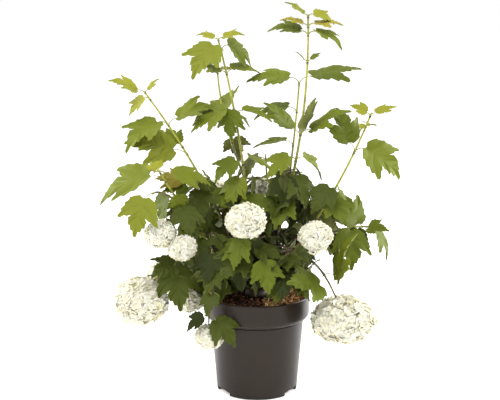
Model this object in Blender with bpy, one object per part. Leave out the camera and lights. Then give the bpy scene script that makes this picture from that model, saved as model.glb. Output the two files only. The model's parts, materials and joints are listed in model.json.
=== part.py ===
"""Snowball viburnum, a young open shrub in its nursery pot.

Units are metres, +Z is up, and the origin is the middle of the pot's flat underside.
The viewer of the plant's front stands at -Y. Turns are degrees anticlockwise from +X,
so 270 faces the viewer. A droop is in degrees below the horizontal.
"""

import random
from math import atan2, ceil, cos, degrees, pi, radians, sin

import bmesh
import bpy
from mathutils import Matrix, Vector
from mathutils.bvhtree import BVHTree

# Pot
POT_HEIGHT = 0.180
RIM_RADIUS = 0.095
BAND_HEIGHT = 0.045
BAND_STEP = 0.0105
FOOT_RADIUS = 0.0725
POT_WALL = 0.0024
POT_SIDES = 48
NOTCH_COUNT = 3
NOTCH_HEIGHT = 0.009
NOTCH_REACH = 0.060
NOTCH_HALF_TURN = 17.0

# Potting soil under bark mulch
SOIL_DROP = 0.011
SOIL_HEAP = 0.007
SOIL_LUMP = 0.0016
SOIL_SIDES = 30

# Woody foot that every stem rises from
WOODY_FOOT_RADIUS = 0.023
WOODY_FOOT_HEIGHT = 0.022
FLAT_GROUND_RADIUS = 0.026
INNER_STEMS = 4
INNER_FEET = 0.0060
OUTER_FEET = 0.0150

# Stems, leaves and blooms
GAP = 0.0004
STEM_ROOT_RADIUS = 0.0027
STEM_TIP_RADIUS = 0.0012
BOUGH_SIDES = 7
STEM_SIDES = 5
STEM_STRAIGHTNESS = 0.0005
PETIOLE_SHARE = 0.30
PETIOLE_RADIUS = 0.0009
LEAF_FULLNESS = 1.04
LEAF_THICKNESS = 0.020
LEAF_CLEARANCE = 0.0011
LEAF_TRIES = 11
JOIN_TRIES = 5
HAIR = 0.0001
SAME_POINT = 0.0000002
BLOOM_FLATNESS = 0.86
LARGE_BLOOM = 0.040

# Half outline of the three-lobed leaf for a blade one unit long, from base to tip:
# shoulder, side lobe, notch between the side lobe and the middle one
LEAF_HALF = ((0.35, 0.06), (0.51, 0.60), (0.21, 0.56))
LEAF_PALM = 0.42


def shoot(name, tip, bow, bare=0.0, pairs=(), bloom=0.0, flat=BLOOM_FLATNESS, parent=None,
          start=0.0, look=1.0):
    """A stem from its foot to its tip, bowed by the offset of its middle.

    bare is the leafless share of it, which is the bough. Each pair of opposite leaves is
    (place along the stem, turn, droop, blade length), where the leaves may each have their
    own droop and length, and a length of 0 is a leaf that has fallen. bloom is the ball's
    radius. look is how much the blades turn to the front or the back of the plant, and a
    pair's own look may follow its length.
    """
    return {
        "name": name,
        "tip": Vector(tip),
        "bow": Vector(bow),
        "bare": bare,
        "pairs": pairs,
        "bloom": bloom,
        "parent": parent,
        "start": start,
        "flat": flat,
        "look": look,
    }


SHOOTS = (
    shoot("right_tall", (0.086, -0.030, 0.680), (0.024, -0.010, 0.000), 0.26, look=0.45, pairs=(
        (0.31, 250, 40, 0.056), (0.40, 300, 55, 0.056), (0.47, 25, 45, 0.050),
        (0.565, 350, (-36, -50), (0.066, 0.070), (0.3, 1.0)), (0.57, 290, -66, (0.060, 0), 1.0),
        (0.83, 20, -45, 0.022), (0.925, 350, (24, -14), 0.052),
        (0.955, 184, (-18, 2), (0.036, 0.044)), (0.99, 0, (14, -44), (0.038, 0.036)))),
    shoot("right_short", (0.076, 0.070, 0.553), (0.004, 0.022, 0.010), parent="right_tall",
          start=0.30, look=0.45, pairs=(
              (0.22, 210, 60, 0.052), (0.42, 175, 12, (0.056, 0)),
              (0.70, 182, 14, (0.058, 0)), (0.98, 184, (-6, -4), (0.068, 0.080)))),
    shoot("left_tall", (-0.070, 0.055, 0.632), (0.010, -0.004, 0.012), 0.28, look=0.7, pairs=(
        (0.32, 310, 45, 0.060), (0.39, 230, 50, 0.060), (0.46, 200, 25, 0.058),
        (0.665, 184, (26, 10), (0.068, 0.060), (0.8, 0.1)), (0.67, 284, 42, (0.062, 0)),
        (0.84, 12, (2, -14), (0.058, 0.050)), (0.945, 190, (56, 20), (0.072, 0.060), 1.0),
        (0.99, 350, (-8, -18), 0.034))),
    shoot("left_second", (-0.072, 0.100, 0.568), (-0.010, 0.010, 0.006), parent="left_tall",
          start=0.40, pairs=(
              (0.30, 60, 40, (0.050, 0)), (0.55, 150, 20, (0.056, 0.050)),
              (0.54, 75, -36, (0.066, 0)), (0.98, 120, -20, 0.034))),
    shoot("back_small_bloom", (0.010, 0.062, 0.362), (0.004, 0.012, 0.012), parent="left_tall",
          start=0.38, bloom=0.019, pairs=((0.55, 60, 20, 0.055),)),
    shoot("left_high", (-0.204, 0.066, 0.536), (0.010, 0.004, 0.010), 0.30, pairs=(
        (0.35, 210, 40, 0.060), (0.42, 280, 45, 0.060), (0.50, 240, 40, 0.060),
        (0.64, 188, -20, (0.080, 0)), (0.68, 160, -72, (0.046, 0)),
        (0.80, 181, (38, -32), (0.090, 0.068), (0.5, 1.0)),
        (0.95, 200, (50, 0), (0.044, 0)), (0.99, 200, (-38, -55), (0.046, 0.024)))),
    shoot("left_middle", (-0.119, -0.010, 0.381), (-0.006, -0.010, 0.006), parent="left_high",
          start=0.40, pairs=((0.45, 290, 50, 0.050), (0.75, 200, 10, (0.046, 0.040)),
                             (0.98, 150, -15, (0.048, 0.030)))),
    shoot("left_low", (-0.172, -0.052, 0.415), (-0.010, -0.006, 0.000), 0.34, pairs=(
        (0.40, 220, 45, 0.058), (0.52, 250, 60, 0.055), (0.66, 300, 38, 0.052),
        (0.76, 206, 55, (0.072, 0.056)), (0.90, 184, (10, 4), (0.090, 0.064)),
        (0.97, 280, -20, 0.034))),
    shoot("left_hanging", (-0.181, -0.078, 0.377), (-0.006, -0.004, 0.012), parent="left_low",
          start=0.70, pairs=((0.97, 238, 52, (0.066, 0)),)),
    shoot("left_bloom", (-0.167, -0.080, 0.307), (-0.006, -0.008, 0.022), parent="left_low",
          start=0.46, bloom=0.030, pairs=((0.50, 210, 20, 0.056),)),
    shoot("left_bloom_low", (-0.130, -0.090, 0.286), (-0.004, -0.008, 0.020),
          parent="left_low", start=0.42, bloom=0.028),
    shoot("left_inner", (-0.070, -0.080, 0.250), (-0.002, -0.010, 0.006), parent="left_low",
          start=0.38, pairs=((0.40, 250, 50, 0.050), (0.75, 330, 45, 0.050),
                             (0.98, 240, 30, 0.044))),
    shoot("left_arching", (-0.206, -0.052, 0.180), (-0.012, -0.008, 0.062), 0.34, bloom=0.049,
          pairs=((0.60, 280, 80, (0.084, 0)), (0.41, 240, 30, 0.058),
                 (0.52, 178, 45, (0.066, 0)), (0.76, 100, 20, (0.042, 0)))),
    shoot("rim_front", (-0.084, -0.088, 0.124), (-0.024, -0.026, 0.060), 0.40, bloom=0.027,
          pairs=((0.62, 260, 50, 0.036), (0.84, 172, (30, 24), (0.036, 0.054)))),
    shoot("rim_back", (-0.124, 0.050, 0.152), (-0.010, 0.012, 0.040), parent="left_arching",
          start=0.42, bloom=0.030, pairs=((0.60, 120, 30, 0.055),)),
    shoot("front_bloom", (-0.020, -0.104, 0.336), (0.000, -0.020, 0.012), 0.30, bloom=0.036,
          pairs=((0.36, 300, 30, 0.056), (0.42, 220, 36, 0.060), (0.50, 350, 20, 0.050),
                 (0.64, 200, 62, 0.060), (0.80, 262, 66, 0.046))),
    shoot("front_young", (0.010, -0.092, 0.256), (0.004, -0.014, 0.004), parent="front_bloom",
          start=0.42, pairs=((0.40, 300, 55, 0.050), (0.70, 220, 50, 0.044),
                             (0.96, 265, -10, 0.034), (0.99, 350, -10, 0.034))),
    shoot("right_bloom", (0.100, -0.086, 0.304), (0.004, -0.016, 0.020), 0.34, bloom=0.031,
          pairs=((0.41, 240, 40, 0.058), (0.52, 300, 60, (0.044, 0.050)),
                 (0.79, 116, 20, 0.040))),
    shoot("front_low", (0.052, -0.086, 0.224), (0.002, -0.010, 0.006), parent="right_bloom",
          start=0.42, pairs=((0.45, 260, 50, 0.046), (0.80, 340, 40, (0.040, 0.046)),
                             (0.98, 240, 30, 0.040))),
    shoot("right_high", (0.196, -0.050, 0.514), (0.012, -0.006, -0.012), 0.36, pairs=(
        (0.43, 250, 45, 0.055), (0.52, 310, 30, 0.050), (0.59, 20, 46, (0.030, 0.056)),
        (0.80, 350, (36, 0), (0.072, 0)), (0.81, 132, -64, (0.062, 0), 1.0),
        (0.93, 250, 0, 0.026), (0.985, 0, -30, (0.036, 0.032)))),
    shoot("right_arching", (0.153, -0.072, 0.150), (0.004, -0.008, 0.082), 0.36, bloom=0.058,
          flat=0.70, pairs=((0.72, 178, (14, -72), (0.094, 0.092), 1.0),
                            (0.45, 300, 20, (0, 0.046)), (0.58, 100, 20, (0.046, 0)))),
    shoot("right_side", (0.210, 0.050, 0.288), (0.006, 0.006, 0.030), 0.38, pairs=(
        (0.90, 150, (-66, -10), (0.070, 0.036)), (0.80, 262, 66, (0.050, 0.040)),
        (0.70, 80, 46, (0, 0.074)), (0.94, 350, 62, (0.060, 0), 0.2),
        (0.46, 330, 40, (0, 0.050)), (0.54, 280, 50, (0.040, 0.060)))),
    shoot("back_middle", (0.016, 0.128, 0.410), (0.008, 0.026, 0.000), 0.30, pairs=(
        (0.38, 100, 50, 0.070), (0.50, 10, 35, 0.070), (0.62, 95, 20, 0.070),
        (0.75, 5, 15, 0.064), (0.94, 186, 24, (0.064, 0.050)))),
    shoot("back_left", (-0.085, 0.150, 0.326), (-0.004, 0.020, 0.010), 0.34, bloom=0.037,
          pairs=((0.42, 40, 50, 0.065), (0.56, 130, 30, 0.075), (0.70, 45, 15, 0.070),
                 (0.84, 135, 5, 0.050))),
    shoot("back_right", (0.128, 0.126, 0.325), (0.012, 0.016, 0.010), 0.34, pairs=(
        (0.42, 140, 50, 0.065), (0.54, 50, 30, 0.074), (0.66, 140, 25, 0.070),
        (0.80, 50, 15, 0.064), (0.97, 140, 0, 0.044))),
    shoot("back_low_left", (-0.172, 0.126, 0.174), (-0.016, 0.010, 0.060), 0.36, bloom=0.038,
          pairs=((0.48, 90, 45, 0.060), (0.62, 10, 30, 0.066), (0.80, 100, 20, 0.056))),
    shoot("back_low_right", (0.090, 0.170, 0.225), (0.010, 0.020, 0.046), 0.36, bloom=0.036,
          pairs=((0.48, 60, 45, 0.060), (0.62, 150, 30, 0.070), (0.78, 60, 15, 0.056))),
)


def clear_scene():
    for old in list(bpy.data.objects):
        bpy.data.objects.remove(old, do_unlink=True)


def material(name, colour, roughness, metallic=0.0):
    made = bpy.data.materials.new(name)
    made.use_nodes = True
    surface = made.node_tree.nodes["Principled BSDF"]
    surface.inputs["Base Color"].default_value = (*colour, 1.0)
    surface.inputs["Roughness"].default_value = roughness
    surface.inputs["Metallic"].default_value = metallic
    return made


def object_from(bm, name, surface):
    mesh = bpy.data.meshes.new(name)
    bm.to_mesh(mesh)
    bm.free()
    mesh.materials.append(surface)
    made = bpy.data.objects.new(name, mesh)
    bpy.context.collection.objects.link(made)
    return made


def turned(profile, sides):
    """A closed body of revolution from (radius, height) points that start and end on the axis."""
    bm = bmesh.new()
    points = [bm.verts.new((radius, 0.0, height)) for radius, height in profile]
    edges = [bm.edges.new(pair) for pair in zip(points, points[1:])]
    bmesh.ops.spin(bm, geom=points + edges, cent=(0, 0, 0), axis=(0, 0, 1),
                   angle=2 * pi, steps=sides, use_merge=True)
    bmesh.ops.remove_doubles(bm, verts=bm.verts, dist=0.00001)
    bmesh.ops.recalc_face_normals(bm, faces=bm.faces)
    return bm


def wall_radius(height):
    """Outer radius of the tapered wall below the rim band."""
    under_band = RIM_RADIUS - BAND_STEP
    share = height / (POT_HEIGHT - BAND_HEIGHT)
    return FOOT_RADIUS + (under_band - FOOT_RADIUS) * share


def add_pot(surface):
    """The tapered pot, its rounded rim band and the drainage notches cut up into its foot."""
    band_foot = POT_HEIGHT - BAND_HEIGHT
    floor_top = NOTCH_HEIGHT + POT_WALL
    profile = [(0.0, 0.0), (FOOT_RADIUS - 0.002, 0.0), (FOOT_RADIUS, 0.002)]
    profile.append((wall_radius(band_foot), band_foot))
    round_in = 0.010
    for step in range(4):
        bend = radians(30.0 * step)
        profile.append((RIM_RADIUS - 0.0005 - round_in * (1 - sin(bend)),
                        band_foot + 0.0012 + round_in * (1 - cos(bend))))
    profile.append((RIM_RADIUS, POT_HEIGHT - 0.002))
    profile.append((RIM_RADIUS - 0.0018, POT_HEIGHT))
    profile.append((RIM_RADIUS - 0.0038, POT_HEIGHT - 0.0012))
    profile.append((wall_radius(band_foot) - POT_WALL, band_foot))
    profile.append((wall_radius(floor_top) - POT_WALL, floor_top))
    profile.append((0.0, floor_top))
    pot = object_from(turned(profile, POT_SIDES), "pot", surface)
    pot.data.shade_smooth()
    pot.data.set_sharp_from_angle(angle=radians(40))
    for number in range(NOTCH_COUNT):
        turn = 90.0 + number * 360.0 / NOTCH_COUNT
        cutter = add_notch_cutter(turn, number, surface)
        cut = pot.modifiers.new("notch", "BOOLEAN")
        cut.object = cutter
        cut.operation = "DIFFERENCE"
    return pot


def add_notch_cutter(turn, number, surface):
    """A sector of a ring that reaches in under the pot's floor."""
    outer = RIM_RADIUS
    lowest = -0.01
    bm = bmesh.new()
    corners = ((NOTCH_REACH, lowest), (outer, lowest), (outer, NOTCH_HEIGHT),
               (NOTCH_REACH, NOTCH_HEIGHT))
    face = bm.faces.new([bm.verts.new((radius, 0.0, height)) for radius, height in corners])
    bmesh.ops.rotate(bm, verts=bm.verts, cent=(0, 0, 0),
                     matrix=Matrix.Rotation(radians(turn - NOTCH_HALF_TURN), 3, "Z"))
    bmesh.ops.spin(bm, geom=[face], cent=(0, 0, 0), axis=(0, 0, 1),
                   angle=radians(2 * NOTCH_HALF_TURN), steps=5)
    bmesh.ops.recalc_face_normals(bm, faces=bm.faces)
    cutter = object_from(bm, "notch_cutter_%d" % number, surface)
    cutter.hide_render = True
    cutter.display_type = "WIRE"
    return cutter


def ground_height(radius):
    """Height of the mulch: lower at the pot's wall, heaped round the woody foot."""
    wall = RIM_RADIUS - POT_WALL
    if radius <= FLAT_GROUND_RADIUS:
        return POT_HEIGHT - SOIL_DROP + SOIL_HEAP
    share = (radius - FLAT_GROUND_RADIUS) / (wall - FLAT_GROUND_RADIUS)
    return POT_HEIGHT - SOIL_DROP + SOIL_HEAP * cos(share * pi / 2)


def add_soil(surface):
    """The root ball and its mulch, one lumpy plug that fills the pot."""
    floor_top = NOTCH_HEIGHT + POT_WALL + GAP
    top_wall = POT_HEIGHT - SOIL_DROP
    band_foot = POT_HEIGHT - BAND_HEIGHT
    inset = POT_WALL + GAP + 0.0006
    side = RIM_RADIUS - 0.0038 - GAP - 0.0012
    profile = [(0.0, floor_top), (wall_radius(floor_top) - inset, floor_top)]
    profile.append((wall_radius(band_foot) - inset, band_foot))
    lean = (side - (wall_radius(band_foot) - inset)) * (top_wall - band_foot) / BAND_HEIGHT
    edge = wall_radius(band_foot) - inset + lean
    profile.append((edge, top_wall))
    rings = 5
    for ring in range(1, rings):
        radius = edge + (FLAT_GROUND_RADIUS - edge) * ring / (rings - 1)
        profile.append((radius, ground_height(radius)))
    profile.append((0.0, ground_height(0.0)))
    bm = turned(profile, SOIL_SIDES)
    dice = random.Random(11)
    for vert in bm.verts:
        radius = vert.co.xy.length
        if vert.co.z > top_wall - 0.001 and radius > FLAT_GROUND_RADIUS + 0.002:
            vert.co.z += dice.uniform(-1.0, 1.0) * SOIL_LUMP
    return object_from(bm, "potting_soil", surface)


def add_woody_foot(surface):
    """The short stool at the ground: a flat cut below, a flare, and a flat top for the stems."""
    base = ground_height(0.0) + GAP
    sides = 14
    dice = random.Random(5)
    bm = bmesh.new()
    steps = ((0.0, 1.0), (0.25, 0.90), (0.6, 0.82), (0.9, 0.86), (1.0, 0.82))
    rings = []
    for share, width in steps:
        ring = []
        for number in range(sides):
            turn = 2 * pi * number / sides
            radius = WOODY_FOOT_RADIUS * width * (1 + 0.05 * sin(3 * turn + 1.0))
            radius *= 1 + dice.uniform(-0.02, 0.02)
            height = base + share * WOODY_FOOT_HEIGHT
            ring.append(bm.verts.new((radius * cos(turn), radius * sin(turn), height)))
        rings.append(ring)
    close_rings(bm, rings)
    return object_from(bm, "woody_foot", surface)


def close_rings(bm, rings):
    """Skin a run of equal rings and cap both ends."""
    for lower, upper in zip(rings, rings[1:]):
        count = len(lower)
        for number in range(count):
            after = (number + 1) % count
            bm.faces.new((lower[number], lower[after], upper[after], upper[number]))
    bm.faces.new(rings[0][::-1])
    bm.faces.new(rings[-1])
    bmesh.ops.recalc_face_normals(bm, faces=bm.faces)


def main_shoots():
    return [item for item in SHOOTS if item["parent"] is None]


def family(item):
    """A main shoot with the side shoots that it carries."""
    return [item] + [other for other in SHOOTS if other["parent"] == item["name"]]


def plant_feet():
    """Each main stem stands on the woody foot on the side that it leans to."""
    top = ground_height(0.0) + GAP + WOODY_FOOT_HEIGHT + GAP
    by_reach = sorted(main_shoots(), key=lambda item: item["tip"].xy.length / item["tip"].z)
    inner = by_reach[:INNER_STEMS]
    outer = by_reach[INNER_STEMS:]
    for group, radius in ((inner, INNER_FEET), (outer, OUTER_FEET)):
        group.sort(key=tip_turn)
        apart = 360.0 / len(group)
        drift = [tip_turn(item) - apart * number for number, item in enumerate(group)]
        first = sum(drift) / len(drift)
        for number, item in enumerate(group):
            turn = radians(first + apart * number)
            item["foot"] = Vector((radius * cos(turn), radius * sin(turn), top))
    by_name = {item["name"]: item for item in SHOOTS}
    for item in SHOOTS:
        if item["parent"] is not None:
            item["foot"] = stem_point(by_name[item["parent"]], item["start"])


def tip_turn(item):
    return degrees(atan2(item["tip"].y, item["tip"].x)) % 360.0


def stem_point(item, share):
    chord = item["foot"].lerp(item["tip"], share)
    return chord + item["bow"] * (4 * share * (1 - share))


def stem_slope(item, share):
    """How far and which way the stem runs for a share of 1."""
    return item["tip"] - item["foot"] + item["bow"] * (4 - 8 * share)


def stem_radius(item, share):
    root = STEM_ROOT_RADIUS if item["parent"] is None else 0.7 * STEM_ROOT_RADIUS
    return STEM_TIP_RADIUS + (root - STEM_TIP_RADIUS) * (1 - share) ** 1.2


def add_tube(bm, points, directions, radii, sides):
    """A tapering limb along points, each of its rings square to its own direction."""
    rings = []
    across = directions[0].orthogonal()
    for point, along, radius in zip(points, directions, radii):
        across = (across - along * across.dot(along)).normalized()
        other = along.cross(across)
        ring = []
        for side in range(sides):
            turn = 2 * pi * side / sides
            ring.append(bm.verts.new(point + (across * cos(turn) + other * sin(turn)) * radius))
        rings.append(ring)
    close_rings(bm, rings)


def limb_mesh(item, begin, end, sides):
    """One stretch of a stem. A main stem's foot is cut level."""
    straight = (STEM_STRAIGHTNESS / item["bow"].length) ** 0.5
    steps = max(2, ceil((end - begin) / straight))
    shares = [min(begin + (end - begin) * number / steps, end) for number in range(steps + 1)]
    directions = [stem_slope(item, share).normalized() for share in shares]
    if begin == 0.0 and item["parent"] is None:
        directions[0] = Vector((0, 0, 1))
    bm = bmesh.new()
    add_tube(bm, [stem_point(item, share) for share in shares], directions,
             [stem_radius(item, share) for share in shares], sides)
    return bm


def leaf_frame(item, pair, side, trial):
    """Where one leaf of a pair sits: its node, its blade's base, axes and length."""
    place, turn, droop, length = [own_value(value, side) for value in pair[:4]]
    look = own_value(pair[4], side) if len(pair) > 4 else item["look"]
    dice = random.Random("%s %.3f %d" % (item["name"], place, side))
    turn += 180.0 * side + dice.uniform(-14, 14) + trial_step(trial, 13.0)
    droop += dice.uniform(-9, 9) + trial_step(trial + 1, 8.0) * (trial > 0)
    length *= LEAF_FULLNESS * dice.uniform(0.88, 1.08) * (1.0 - 0.03 * trial)
    node = stem_point(item, place)
    out = Vector((cos(radians(turn)), sin(radians(turn)), 0.0))
    rise = (out * 0.75 + stem_slope(item, place).normalized() * 0.55).normalized()
    reach = max(length * PETIOLE_SHARE, 0.009)
    base = node + rise * reach
    along = (out * cos(radians(droop)) - Vector((0, 0, 1)) * sin(radians(droop))).normalized()
    up = out * sin(radians(droop)) + Vector((0, 0, 1)) * cos(radians(droop))
    up += outlook(item) * (dice.uniform(0.1, 1.0) * look)
    up += Vector((dice.uniform(-0.35, 0.35), 0, 0))
    up = (up - along * up.dot(along)).normalized()
    return {
        "node": node,
        "base": base,
        "along": along,
        "across": along.cross(up),
        "up": up,
        "length": length,
        "fold": dice.uniform(0.05, 0.22),
        "sag": dice.uniform(0.02, 0.16),
    }


def own_value(value, side):
    """The leaf's own value, where the two leaves of a pair differ."""
    return value[side] if isinstance(value, tuple) else value


def outlook(item):
    """The side that a shoot turns its leaves to: the front or the back of the plant."""
    return Vector((0, 1 if item["tip"].y > 0.08 else -1, 0))


def trial_step(trial, size):
    """0, +1, -1, +2, -2 and so on, in steps of the size."""
    return size * ceil(trial / 2) * (1 if trial % 2 else -1)


def blade_point(frame, x, y, lift=0.0):
    """A point of the blade: folded up from the midrib and sagging towards the tip."""
    length = frame["length"]
    rise = frame["fold"] * abs(x) - frame["sag"] * y * y + lift
    return (frame["base"] + frame["across"] * (x * length) + frame["along"] * (y * length)
            + frame["up"] * (rise * length))


def leaf_mesh(frame, thickness=LEAF_THICKNESS):
    """A closed lobed blade on its three-sided stalk, whose root is sunk in the stem."""
    bm = bmesh.new()
    rise = (frame["base"] - frame["node"]).normalized()
    ridge = frame["across"].cross(rise).normalized()
    if ridge.dot(frame["up"]) < 0:
        ridge.negate()
    root = add_stalk_ring(bm, frame["node"], frame["across"], ridge, 1.2 * PETIOLE_RADIUS)
    neck = add_stalk_ring(bm, frame["base"], frame["across"],
                          (ridge + frame["up"]).normalized(), PETIOLE_RADIUS)
    for number in range(3):
        after = (number + 1) % 3
        bm.faces.new((root[number], root[after], neck[after], neck[number]))
    bm.faces.new(root)
    right = [bm.verts.new(blade_point(frame, x, y)) for x, y in LEAF_HALF]
    tip = bm.verts.new(blade_point(frame, 0.0, 1.0))
    left = [bm.verts.new(blade_point(frame, -x, y)) for x, y in reversed(LEAF_HALF)]
    rim = [neck[1]] + right + [tip] + left + [neck[0]]
    above = bm.verts.new(blade_point(frame, 0.0, LEAF_PALM, thickness / 2))
    below = bm.verts.new(blade_point(frame, 0.0, LEAF_PALM, -thickness / 2))
    for corner, after in zip(rim, rim[1:]):
        bm.faces.new((above, corner, after))
        bm.faces.new((below, after, corner))
    bm.faces.new((above, neck[0], neck[2]))
    bm.faces.new((above, neck[2], neck[1]))
    bm.faces.new((below, neck[1], neck[0]))
    bmesh.ops.recalc_face_normals(bm, faces=bm.faces)
    return bm


def add_stalk_ring(bm, centre, across, ridge, radius):
    """Left, right and ridge corners of a leaf stalk."""
    corners = (across * -0.9 - ridge * 0.5, across * 0.9 - ridge * 0.5, ridge)
    return [bm.verts.new(centre + corner * radius) for corner in corners]


def bloom_mesh(item):
    """A snowball bloom: a slightly flattened ball of crowded florets."""
    dice = random.Random(item["name"])
    bm = bmesh.new()
    detail = 3 if item["bloom"] > LARGE_BLOOM else 2
    bmesh.ops.create_icosphere(bm, subdivisions=detail, radius=item["bloom"])
    waves = [(Vector((dice.gauss(0, 1), dice.gauss(0, 1), dice.gauss(0, 1))),
              dice.uniform(0, 2 * pi)) for _ in range(5)]
    for vert in bm.verts:
        unit = vert.co.normalized()
        lump = sum(cos(5.0 * unit.dot(wave) + phase) for wave, phase in waves) / 5
        vert.co *= 1.0 + 0.06 * lump
        vert.co.z *= item["flat"]
    bmesh.ops.translate(bm, verts=bm.verts, vec=item["tip"])
    return bm


def tree_of(bm):
    return BVHTree.FromBMesh(bm)


def grow_leaves(taken):
    """Every leaf with a clear place. A leaf with none, after a few tries, is skipped."""
    grown = {}
    for item in SHOOTS:
        owner = item["parent"] or item["name"]
        frames = []
        for pair in item["pairs"]:
            for side in (0, 1):
                frame = None
                if own_value(pair[3], side) > 0:
                    frame = first_clear_leaf(item, pair, side, owner, taken)
                if frame is not None:
                    frames.append(frame)
        grown[item["name"]] = frames
    return grown


def first_clear_leaf(item, pair, side, owner, taken):
    """Turn and droop a leaf a little until it clears every other part of the plant.

    Its own mass may be touched too, but only on the last tries.
    """
    for trial in range(LEAF_TRIES):
        frame = leaf_frame(item, pair, side, trial)
        leaf = leaf_mesh(frame)
        shape = tree_of(leaf)
        swollen = swell(leaf, LEAF_CLEARANCE)
        leaf.free()
        blade = leaf_mesh(dict(frame, node=frame["base"].lerp(frame["node"], 0.1)))
        blade_shape = tree_of(blade)
        blade.free()
        clear = not any(swollen.overlap(other) for name, trees in taken.items()
                        if name != owner for other in trees)
        if clear and trial < LEAF_TRIES - 3:
            clear = not any(blade_shape.overlap(other) for other in taken[owner])
        if clear:
            taken[owner].append(shape)
            return frame
    return None


def swell(bm, amount):
    for vert in bm.verts:
        vert.co += vert.normal * amount
    return tree_of(bm)


def join_mass(name, parts, surface):
    """Fuse a stem with its leaves and blooms into one closed body.

    Where the faces of two leaves meet edge to edge the union isn't clean, so it is made
    again with every leaf moved by a hair.
    """
    dice = random.Random(name)
    for attempt in range(JOIN_TRIES):
        mass = fuse(name, parts, surface)
        faults = keep_outer_body(mass)
        if faults == 0 or attempt == JOIN_TRIES - 1:
            break
        bpy.data.objects.remove(mass, do_unlink=True)
        for bm in parts[1:]:
            nudge = Vector([dice.uniform(-HAIR, HAIR) for _ in range(3)])
            bmesh.ops.translate(bm, verts=bm.verts, vec=nudge)
    for bm in parts:
        bm.free()


def fuse(name, parts, surface):
    """One Boolean union of the first part with a collection of all the others.

    The MANIFOLD solver, because EXACT leaves some of the leaves that cross unjoined.
    """
    holder = bpy.data.collections.new(name + "_parts")
    bpy.context.scene.collection.children.link(holder)
    mass = object_from(parts[0].copy(), name, surface)
    for number, bm in enumerate(parts[1:]):
        piece = object_from(bm.copy(), "%s_part_%d" % (name, number), surface)
        bpy.context.collection.objects.unlink(piece)
        holder.objects.link(piece)
    union = mass.modifiers.new("join", "BOOLEAN")
    union.operation = "UNION"
    union.operand_type = "COLLECTION"
    union.collection = holder
    union.solver = "MANIFOLD"
    bpy.context.view_layer.update()
    depsgraph = bpy.context.evaluated_depsgraph_get()
    joined = bpy.data.meshes.new_from_object(mass.evaluated_get(depsgraph))
    mass.modifiers.clear()
    mass.data = joined
    for piece in list(holder.objects):
        bpy.data.objects.remove(piece, do_unlink=True)
    bpy.data.collections.remove(holder)
    return mass


def keep_outer_body(mass):
    """Keep the largest skin: no loose scrap and no hollow that fusing sealed.

    Returns how many of its edges don't have two faces.
    """
    bm = bmesh.new()
    bm.from_mesh(mass.data)
    bmesh.ops.remove_doubles(bm, verts=bm.verts, dist=SAME_POINT)
    bmesh.ops.triangulate(bm, faces=bm.faces)
    unseen = set(bm.faces)
    islands = []
    while unseen:
        island = {unseen.pop()}
        front = list(island)
        while front:
            face = front.pop()
            for edge in face.edges:
                neighbours = edge.link_faces if len(edge.link_faces) == 2 else ()
                for other in neighbours:
                    if other in unseen:
                        unseen.discard(other)
                        island.add(other)
                        front.append(other)
        islands.append(island)
    islands.sort(key=len, reverse=True)
    for island in islands[1:]:
        bmesh.ops.delete(bm, geom=list(island), context="FACES")
    faults = sum(len(edge.link_faces) != 2 for edge in bm.edges)
    bm.to_mesh(mass.data)
    bm.free()
    return faults


def build():
    clear_scene()
    plastic = material("pot_plastic", (0.10, 0.085, 0.072), 0.45)
    mulch = material("bark_mulch", (0.12, 0.055, 0.030), 0.9)
    wood = material("woody_bark", (0.16, 0.10, 0.06), 0.8)
    green = material("leaf_green", (0.16, 0.24, 0.05), 0.5)
    plant_feet()
    still = [add_pot(plastic), add_soil(mulch), add_woody_foot(wood)]
    bpy.context.view_layer.update()
    taken = {}
    for piece in still:
        bm = bmesh.new()
        bm.from_mesh(piece.data)
        taken[piece.name] = [tree_of(bm)]
        bm.free()
    stems = {}
    for item in main_shoots():
        bough = limb_mesh(item, 0.0, item["bare"], BOUGH_SIDES)
        taken[item["name"] + "_bough"] = [tree_of(bough)]
        object_from(bough, item["name"] + "_bough", wood)
        taken[item["name"]] = []
        stems[item["name"]] = []
        for member in family(item):
            begin = 0.0
            if member is item:
                begin = item["bare"] + GAP / stem_slope(item, item["bare"]).length
            limb = limb_mesh(member, begin, 1.0, STEM_SIDES)
            taken[item["name"]].append(tree_of(limb))
            stems[item["name"]].append(limb)
            if member["bloom"]:
                ball = bloom_mesh(member)
                taken[item["name"]].append(tree_of(ball))
                stems[item["name"]].append(ball)
    grown = grow_leaves(taken)
    for item in main_shoots():
        parts = stems[item["name"]]
        for member in family(item):
            for frame in grown[member["name"]]:
                parts.append(leaf_mesh(frame))
        join_mass(item["name"] + "_foliage", parts, green)


build()
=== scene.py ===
import json
import random
from math import atan2, ceil, cos, degrees, exp, inf, pi, radians, sin

import bmesh
import bpy
from mathutils import Matrix, Vector, noise
from mathutils.kdtree import KDTree

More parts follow.
